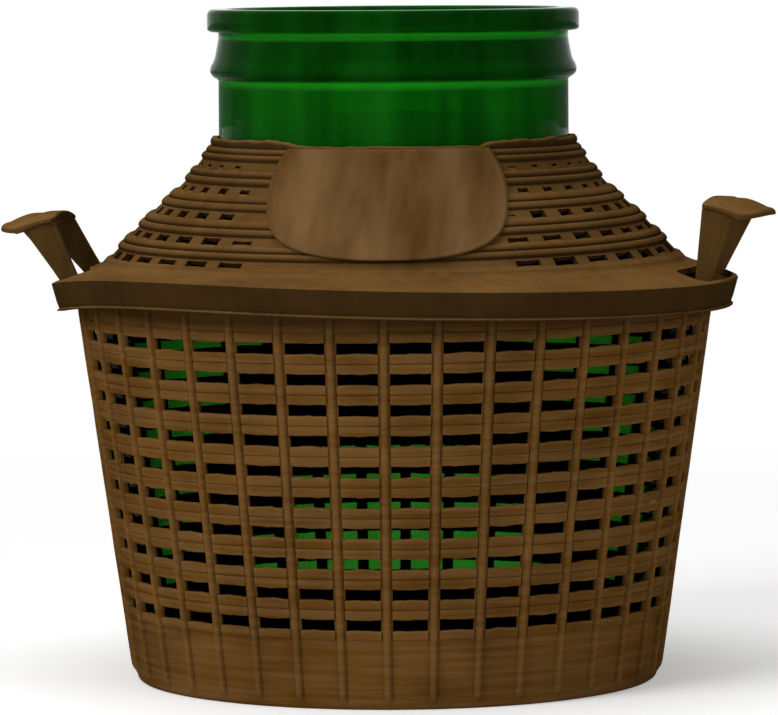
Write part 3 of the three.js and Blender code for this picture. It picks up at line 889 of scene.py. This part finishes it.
def cover_profile():
    """Rows of the cover: (outer, inner, rows up from the lowest windows, kind of row or None)."""
    rows = []
    skirt_foot = rim.y - SKIRT_DEPTH
    skirt_outer = rim.x - SKIRT_DRAFT
    foot_inner = skirt_inner - SKIRT_DRAFT

    def add(outer, inner, kind=None, row=0):
        rows.append((Vector(outer), Vector(inner), row, kind))

    def add_ledge(radius, kind=None, rise=0):
        top = ledge_top(radius)
        add((radius, top + rise), (radius, top - LEDGE), kind)

    def add_slope(along, off, kind=None, row=0):
        add(on_slope(along, off), on_slope(along, COVER_GAP), kind, row)

    for up, bulge in SKIRT_BEAD_FORM:
        height = skirt_foot + up
        add((skirt_outer + SKIRT_BEAD * bulge, height), (foot_inner, height), "skirt")
    for share in SKIRT_LEVELS:
        height = skirt_foot + (SKIRT_DEPTH - RIM_ROUND) * share
        out = SKIRT_DRAFT * share
        add((skirt_outer + out, height), (foot_inner + out, height), "skirt")
    for k in range(RIM_STEPS + 1):
        turn = math.pi / 2 * k / RIM_STEPS
        radius = rim.x - RIM_ROUND * (1 - math.cos(turn))
        height = rim.y - RIM_ROUND * (1 - math.sin(turn))
        inner = min(radius, skirt_inner) - RIM_SPREAD * k
        low = ledge_top(inner) - LEDGE - RIM_FILLET * (1 - k / RIM_STEPS)
        add((radius, height), (inner, low))
    add_ledge(slot_outer, "slot_outer")
    add_ledge((slot_outer + slot_inner) / 2, "slot")
    add_ledge(slot_inner, "slot_inner")
    fillet = LEDGE_FILLET[0] - LEDGE_FILLET[-1]
    for off in LEDGE_FILLET:
        add_ledge(ledge_inner.x + off, rise=FILLET_RISE * (LEDGE_FILLET[0] - off) / fillet)
    for along in SMOOTH_BAND_ROWS:
        add_slope(SMOOTH_BAND_START + along, CREST - SMOOTH_SINK)
    add_slope(FIRST_ROW - ROW_STRIP / 2 - SMOOTH_BAND_END, CREST - SMOOTH_SINK)
    band = ROW_PITCH - ROW_STRIP
    for row in range(COVER_ROWS):
        centre = row_place(row)
        half = COVER_WINDOW_HEIGHTS[row] / 2
        add_slope(centre - ROW_STRIP / 2, VALLEY, None, row)
        add_slope(centre - half, VALLEY, "window", row)
        add_slope(centre + half, VALLEY, "window_top", row)
        start = centre + ROW_STRIP / 2
        height = band * LAST_BAND if row == COVER_ROWS - 1 else band
        for share, across in strand_rows(BAND_STRANDS):
            off = VALLEY + COVER_STRAND * strand_relief(across, COVER_SQUARE)
            add_slope(start + height * share, off, None, row + 0.5)
    collar_outer = collar_radius + COLLAR_LAND
    start = on_slope(row_place(COVER_ROWS - 1) + ROW_STRIP / 2 + band * COLLAR_START, VALLEY)
    for share, swell in COLLAR_FORM:
        radius = start.x + (collar_outer - start.x) * share ** COLLAR_BOW + swell
        height = start.y + (collar_top - start.y) * share
        inner = max(collar_radius, slope_at(COVER_GAP, height))
        add((radius, height), (inner, height), "collar", COVER_ROWS)
    return rows


def row_swing(height, angle):
    """How far the cone's rows climb on the right and sink at the front, most at the lowest rows."""
    start, full = SWING_START
    lowest = smoothstep(ledge_inner.y + start, ledge_inner.y + full, height)
    swing = max(math.cos(angle), 0) + SWING_FRONT * min(math.sin(angle), 0)
    return ROW_SWING * swing * lowest * (1 - smoothstep(ledge_inner.y + SWING_END, neck_foot.y, height))


def plate_closing(angle, radius):
    """How open a window is: they close up towards the plate and are shut behind it."""
    from_plate = angle - PLATE_DIRECTION
    if math.cos(from_plate) < 0:
        return 1
    beside = abs(radius * math.sin(from_plate) + CLOSING_SHIFT) - PLATE_HALF
    return min(max((beside - CLOSING_START) / CLOSING_SPAN, 0), 1)


def window_edge(at, under, row, opening):
    """Section at a window's edge, which lies nearer to the middle of its row the less open it is."""
    section = []
    for edge, off in ((at, VALLEY), (under, COVER_GAP)):
        middle = on_slope(row_place(row), off)
        section.append(middle.x + (edge.x - middle.x) * opening)
        section.append(middle.y + (edge.y - middle.y) * opening)
    return section


def slot_edge(radius, angle):
    """Section at a slot's edge, drawn together towards the slot's ends; past them the ledge is plain."""
    middle = (slot_outer + slot_inner) / 2
    inside = (SLOT_HALF - abs(math.remainder(angle, math.pi))) * pivot_reach
    if inside >= -SLOT_PAST:
        tip = min(max(inside / SLOT_TIP, 0), 1)
        width = SLOT_TIP_SHARE + (1 - SLOT_TIP_SHARE) * math.sqrt(1 - (1 - tip) ** 2)
        radius = middle + (radius - middle) * width
    return radius, ledge_top(radius), radius, ledge_top(radius) - LEDGE


def collar_edge(at, under, angle):
    """Section of the collar, ragged towards its top and lower behind the plate."""
    ragged = sum(share * uneven(fineness, angle, level) for fineness, level, share in COLLAR_WAVES)
    up = max((at.y - neck_foot.y) / COLLAR_RISE, 0)
    from_plate = abs(math.remainder(angle - PLATE_DIRECTION, 2 * math.pi))
    dip = COLLAR_DIP * smoothstep(*BEHIND_PLATE, from_plate)
    height = at.y + (COLLAR_RAGGED * (ragged - COLLAR_MEAN) - dip) * up
    return at.x + COLLAR_UNEVEN * ragged, height, under.x, height


def cover_points(section, angle, on_skirt):
    """Outer and inner point of the cover, with its grain, swinging rows, hollow cone and hanging rim."""
    radius, height, low_radius, low_height = section
    grain = COVER_GRAIN * uneven(COVER_FINENESS * radius, angle, COVER_FINENESS * height)
    swing = row_swing(height, angle)
    height += swing
    low_height += swing
    radius += swing * slope.x / slope.y
    low_radius += swing * slope.x / slope.y
    hollow = cone_hollow(height)
    sag, low_sag = (sag_at(rim.x if on_skirt else r, angle) for r in (radius, low_radius))
    outer = place(radius + grain - hollow, angle, height - sag)
    inner = place(low_radius - HOLLOW_INSIDE * hollow, angle, low_height - low_sag)
    return outer, inner


def cover_sheet():
    """The ringed cover, from the foot of its skirt over the ledge and up the cone to the collar."""
    profile = cover_profile()
    bay = 2 * math.pi / COVER_BAYS
    columns = []
    for k in range(COVER_BAYS):
        columns.extend((k, side, None) for side in COVER_COLUMNS)
        columns.extend((k, None, share) for share in POST_COLUMNS)
    wear = [[chance.uniform(*WEAR_RANGE) for _ in range(COVER_BAYS)] for _ in range(COVER_ROWS + 1)]
    outer, inner = [], []
    for at, under, row, kind in profile:
        half = window_width(row) / 2 / on_slope(row_place(row), VALLEY).x
        outer_row, inner_row = [], []
        for k, side, share in columns:
            centre = COVER_TURN + bay * k
            angle = centre + (side * half if share is None else half + (bay - 2 * half) * share)
            section = (at.x, at.y, under.x, under.y)
            if kind in ("window", "window_top"):
                bow = WINDOW_BOW * (1 - side ** 2) if share is None else 0
                opening = plate_closing(centre, at.x) * wear[row][k] - bow
                section = window_edge(at, under, row, min(max(opening, LEAST_OPEN), MOST_OPEN))
            elif kind in ("slot_outer", "slot_inner"):
                section = slot_edge(at.x, angle)
            elif kind == "collar":
                section = collar_edge(at, under, angle)
            outer_point, inner_point = cover_points(section, angle, kind == "skirt")
            outer_row.append(outer_point)
            inner_row.append(inner_point)
        outer.append(outer_row)
        inner.append(inner_row)

    def open_cell(i, j):
        at, _, _, kind = profile[i]
        k, side, _ = columns[j]
        if kind == "window":
            in_window = side is not None and side < 1
            return in_window and plate_closing(COVER_TURN + bay * k, at.x) > SHUT_BELOW
        if kind in ("slot_outer", "slot"):
            edges = (outer[i][j], outer[i][(j + 1) % len(columns)])
            return all(abs(math.remainder(math.atan2(y, x), math.pi)) < SLOT_HALF for x, y, _ in edges)
        return False

    return thick_sheet(outer, inner, open_cell, wrap=True)


def plate_half(up):
    """Half the width of the plate at a height above its foot."""
    if up >= PLATE_SHOULDER:
        taper = (up - PLATE_SHOULDER) / (PLATE_HEIGHT - PLATE_SHOULDER)
        return PLATE_HALF - (PLATE_HALF - PLATE_TOP_HALF) * taper ** 2
    return PLATE_HALF * (1 - (1 - up / PLATE_SHOULDER) ** PLATE_CURVE_UP) ** (1 / PLATE_CURVE_ACROSS)


def plate_foot(across):
    """Height of the plate's lower edge at a distance from its middle."""
    share = min(abs(across) / PLATE_HALF, 1)
    return PLATE_SHOULDER * (1 - (1 - share ** PLATE_CURVE_ACROSS) ** (1 / PLATE_CURVE_UP))


def plate_point(radius, across, height):
    """A point of the plate at a distance to the side of its middle line."""
    angle = PLATE_DIRECTION + math.asin(across / radius)
    return place(radius, angle, height - sag_at(radius, angle))


def plate_sheet():
    """The bare shield-shaped plate, following the cone, with a fine bead round its edge."""
    ups = [PLATE_HEIGHT * (k / PLATE_ROWS) ** PLATE_ROW_POWER for k in range(PLATE_ROWS + 1)]
    sides = [math.sin(math.pi / 2 * (k / PLATE_SIDES - 1)) for k in range(2 * PLATE_SIDES + 1)]
    outer, inner = [], []
    for up in ups:
        height = PLATE_FOOT + up
        hollow = cone_hollow(height)
        root = max(slope_at(COVER_GAP + PLATE_ROOT, height) - hollow, collar_radius)
        outer_row, inner_row = [], []
        for side in sides:
            across = side * plate_half(up)
            edge = min(plate_half(up) - abs(across), up - plate_foot(across), PLATE_HEIGHT - up)
            bead = PLATE_BEAD * math.exp(-((edge - PLATE_BEAD_INSET) / PLATE_BEAD_WIDTH) ** 2)
            crown = PLATE_CROWN * (1 - (across / PLATE_HALF) ** 2)
            off = CREST + PLATE_RISE + crown + bead - drop(edge, PLATE_EDGE)
            outer_row.append(plate_point(slope_at(off, height) - hollow, across, height))
            inner_row.append(plate_point(root, across, height))
        outer.append(outer_row)
        inner.append(inner_row)
    return thick_sheet(outer, inner)


def grip_reach(width, share):
    """How far a grip of that width reaches out, from its middle (0) to its ends (1)."""
    return NOSE_START + (width - NOSE_START) * math.sqrt(1 - share ** 2)


def grip_fall(out, share):
    """How far the grip bends down: over its nose, and towards its ends."""
    start = DROOP_START * (1 - share ** 2)
    bend = max(out - start, 0) / (1 - start)
    return GRIP_ARCH * share ** 2 + GRIP_DROOP * (1 - END_STIFFNESS * share ** 2) * bend ** DROOP_POWER


def grip_sheet(leg, width, lift):
    """The dished, arched grip with its rounded nose: X outward, Y along it, Z up the legs."""
    inner_x = -LEG_TOP_HALF
    upper, lower = [], []
    for k in range(GRIP_ROWS + 1):
        out = eased(k, GRIP_ROWS)
        upper_row, lower_row = [], []
        for place_along in spread(GRIP_COLUMNS):
            along = place_along * GRIP_LENGTH / 2
            share = abs(along) / (GRIP_LENGTH / 2)
            from_end = GRIP_LENGTH / 2 - abs(along)
            reach = grip_reach(width, share)
            inset = CORNER_INSET * drop(from_end, GRIP_CORNER)
            x = inset + (reach - inset) * out
            edge = min(x - inset, reach - x, from_end)
            dish = GRIP_DISH * smoothstep(*DISH_SPAN, min(edge, x - DISH_INSET))
            level = leg + GRIP_THICKNESS - grip_fall(out, share)
            upper_row.append((inner_x + x, along, level - dish - drop(edge, GRIP_EDGE)))
            nose = 1 - NOSE_THIN * smoothstep(NOSE_START, width, x)
            depth = GRIP_RIM + (GRIP_THICKNESS - GRIP_RIM) * smoothstep(0, GRIP_SWELL, edge) * nose
            lower_row.append((inner_x + x, along, level - depth))
        upper.append(upper_row)
        lower.append(lower_row)
    points, faces = thick_sheet(upper, lower)
    heel = Vector((inner_x, 0, leg))
    turn = Matrix.Rotation(-lift, 3, "Y")
    return [tuple(turn @ (Vector(p) - heel) + heel) for p in points], faces


def leg_half(leg, waist_half, height):
    """Half the width of a leg of that length and waist at a height above its pivot."""
    if height <= 0:
        return math.sqrt(max(FOOT_RADIUS ** 2 - height ** 2, FOOT_TIP ** 2))
    waist = FOOT_RADIUS + (waist_half - FOOT_RADIUS) * smoothstep(0, WAIST_HEIGHT, height)
    widening = max(height - WAIST_HEIGHT, 0) / (leg - WAIST_HEIGHT)
    return waist + (LEG_TOP_HALF - waist_half) * widening


def leg_sheet(leg, waist_half, width, side, lift):
    """One flat leg, from its round foot up into the grip, with bevelled edges on its outer face."""
    heights = [-FOOT_RADIUS * math.cos(math.pi / 2 * k / FOOT_ROWS) for k in range(FOOT_ROWS + 1)]
    heights += [leg * k / LEG_ROWS for k in range(1, LEG_ROWS + 1)]
    middle = side * LEG_SPACING / 2
    at_end = LEG_SPACING / GRIP_LENGTH
    reach = grip_reach(width, at_end)
    near, far = [], []
    for height in heights:
        half = leg_half(leg, waist_half, height)
        near_row, far_row = [], []
        for share in spread(LEG_COLUMNS):
            out = LEG_TOP_HALF * (1 + share)
            root = LEG_ROOT + out * math.tan(lift) - grip_fall(out / reach, at_end)
            rise = max(height, 0) / leg * root
            bevel = LEG_BEVEL * smoothstep(*BEVEL_ACROSS, abs(share)) * smoothstep(*BEVEL_UP, height)
            thick = LEG_THICKNESS / 2 - drop(half * (1 - abs(share)), LEG_EDGE)
            near_row.append((share * half, middle + side * (thick - bevel), height + rise))
            far_row.append((share * half, middle - side * thick, height + rise))
        near.append(near_row)
        far.append(far_row)
    return thick_sheet(near, far)


def handle_sheet(facing, leg, waist_half, width, tilt, turn, shift):
    """A strap handle standing at its tilt; its legs lean so that the grip is turned and shifted."""
    lift = tilt - GRIP_FALL
    legs = [leg_sheet(leg, waist_half, width, side, lift) for side in (-1, 1)]
    points, faces = joined(grip_sheet(leg, width, lift), *legs)
    stand = (
        Matrix.Rotation(facing, 4, "Z")
        @ Matrix.Translation((pivot_radius, 0, PIVOT_HEIGHT))
        @ Matrix.Rotation(tilt, 4, "Y")
    )
    placed = []
    for x, y, z in points:
        bent = min(max(z / leg, 0), 1)
        placed.append(tuple(stand @ Vector((x + bent * (shift + y * math.tan(turn)), y, z))))
    return placed, faces


def build_object():
    # The basket gets a painted shadow just under the cover's skirt
    basket_brown = plastic(
        "basket_brown", dark=(82, 54, 18), light=(98, 66, 26), streak=0.16, roughness=0.5,
        shadow=(0.125, 0.133), flow=(22, 22, 520),
    )
    # The cover and the handles get painted shade on faces that turn sideways or down
    cover_brown = plastic(
        "cover_brown", dark=(96, 67, 32), light=(114, 82, 42), streak=0.1, roughness=0.5, shade=0.8,
    )
    plate_brown = plastic(
        "plate_brown", dark=(78, 53, 23), light=(85, 59, 27), streak=0.3, roughness=0.46,
        flow=(75, 9, 22),
    )
    handle_brown = plastic(
        "handle_brown", dark=(108, 76, 36), light=(126, 92, 49), streak=0.14, roughness=0.48, shade=0.64,
    )
    body_glass = green_glass(
        "body_glass", deep=(0.27, 0.7, 0.22, 1), pale=(0.32, 0.78, 0.27, 1), clear=1, ior=1.04,
    )
    neck_glass = green_glass(
        "neck_glass", deep=(0.008, 0.24, 0.008, 1), pale=(0.034, 0.58, 0.034, 1), clear=0.87, ior=1.06,
    )
    vessel = make_piece("vessel", glass_sheet(), body_glass, "demijohn", "glass_vessel")
    vessel.data.materials.append(neck_glass)
    for face in vessel.data.polygons:
        face.material_index = int(face.center.z > NECK_LINE)
    make_piece("lattice_basket", basket_sheet(), basket_brown, "demijohn", "basket")
    make_piece("ringed_cover", cover_sheet(), cover_brown, "demijohn", "cover")
    make_piece("bare_plate", plate_sheet(), plate_brown, "demijohn")
    right = handle_sheet(0, *RIGHT_HANDLE)
    make_piece("right_strap", right, handle_brown, "right_handle", "handle_right")
    left = handle_sheet(math.pi, *LEFT_HANDLE)
    make_piece("left_strap", left, handle_brown, "left_handle", "handle_left")


# Stage
def lay_floor():
    """A pale floor that glows a little to the eye and fades into the white background."""
    bpy.ops.mesh.primitive_plane_add(size=FLOOR_SIZE)
    ground = bpy.context.object
    ground.name = "floor"
    graph = Graph("pale_floor")
    camera_ray = graph.add("ShaderNodeLightPath").outputs["Is Camera Ray"]
    glow = graph.span(camera_ray, 0, 1, 0, FLOOR_GLOW)
    graph.fill(graph.shader, Base_Color=FLOOR_WHITE, Roughness=FLOOR_ROUGHNESS, Specular_IOR_Level=0)
    graph.fill(graph.shader, Emission_Color=WHITE, Emission_Strength=glow)
    coords = graph.add("ShaderNodeTexCoord").outputs["Object"]
    away = graph.add("ShaderNodeVectorMath", {"operation": "LENGTH"}, Vector=coords).outputs["Value"]
    far = graph.add("ShaderNodeMath", {"operation": "MULTIPLY"})
    graph.put(far.inputs[0], camera_ray)
    graph.put(far.inputs[1], graph.span(away, *FLOOR_FADE, 0, 1))
    sweep = graph.add("ShaderNodeMixShader", Fac=far.outputs[0])
    graph.put(sweep.inputs[1], graph.shader.outputs[0])
    graph.put(sweep.inputs[2], graph.add("ShaderNodeEmission").outputs[0])
    graph.fill(graph.output, Surface=sweep.outputs[0])
    ground.data.materials.append(graph.material)


def area_light(name, at, aim, size, power):
    light = bpy.data.lights.new(name, "AREA")
    light.shape = "DISK"
    light.size = size
    light.energy = power
    lamp = bpy.data.objects.new(name, light)
    lamp.location = at
    lamp.rotation_euler = (Vector(aim) - Vector(at)).to_track_quat("-Z", "Y").to_euler()
    scene.collection.objects.link(lamp)


def surround():
    """White where it is seen directly, mirrored or through the glass, and a dim grey room as light."""
    surroundings = bpy.data.worlds.new("studio")
    scene.world = surroundings
    surroundings.use_nodes = True
    nodes, links = surroundings.node_tree.nodes, surroundings.node_tree.links
    nodes.clear()
    path = nodes.new("ShaderNodeLightPath")
    seen = path.outputs["Is Camera Ray"]
    for ray in ("Is Glossy Ray", "Is Transmission Ray"):
        either = nodes.new("ShaderNodeMath")
        either.operation = "MAXIMUM"
        links.new(seen, either.inputs[0])
        links.new(path.outputs[ray], either.inputs[1])
        seen = either.outputs[0]
    mixed = nodes.new("ShaderNodeMixShader")
    links.new(seen, mixed.inputs[0])
    for key, colour in ((1, ROOM_GREY), (2, WHITE)):
        background = nodes.new("ShaderNodeBackground")
        background.inputs["Color"].default_value = colour
        links.new(background.outputs[0], mixed.inputs[key])
    output = nodes.new("ShaderNodeOutputWorld")
    links.new(mixed.outputs[0], output.inputs["Surface"])


def set_camera():
    """The photograph's view, with the vessel's axis a little to the right of the middle."""
    toward = Vector((math.cos(CAMERA_TURN), math.sin(CAMERA_TURN), 0))
    right = Vector((-toward.y, toward.x, 0))
    aside = (FRAME_WIDTH / 2 - AXIS_PIXEL) * CAMERA_DISTANCE / FOCAL_PIXELS
    eye = toward * CAMERA_DISTANCE + Vector((0, 0, CAMERA_HEIGHT)) + right * aside
    aim = right * aside + Vector((0, 0, AIM_HEIGHT))
    lens = bpy.data.cameras.new("photo_view")
    lens.sensor_fit = "HORIZONTAL"
    lens.lens = lens.sensor_width * FOCAL_PIXELS / FRAME_WIDTH
    lens.clip_end = FARTHEST_SEEN
    view = bpy.data.objects.new("photo_view", lens)
    turn = (aim - eye).to_track_quat("-Z", "Y").to_matrix().to_4x4() @ Matrix.Rotation(CAMERA_ROLL, 4, "Z")
    view.matrix_world = Matrix.Translation(eye * MM) @ turn
    scene.collection.objects.link(view)
    scene.camera = view


scene.view_settings.view_transform = "Standard"
set_camera()
build_object()
lay_floor()
for light in LIGHTS:
    area_light(*light)
surround()
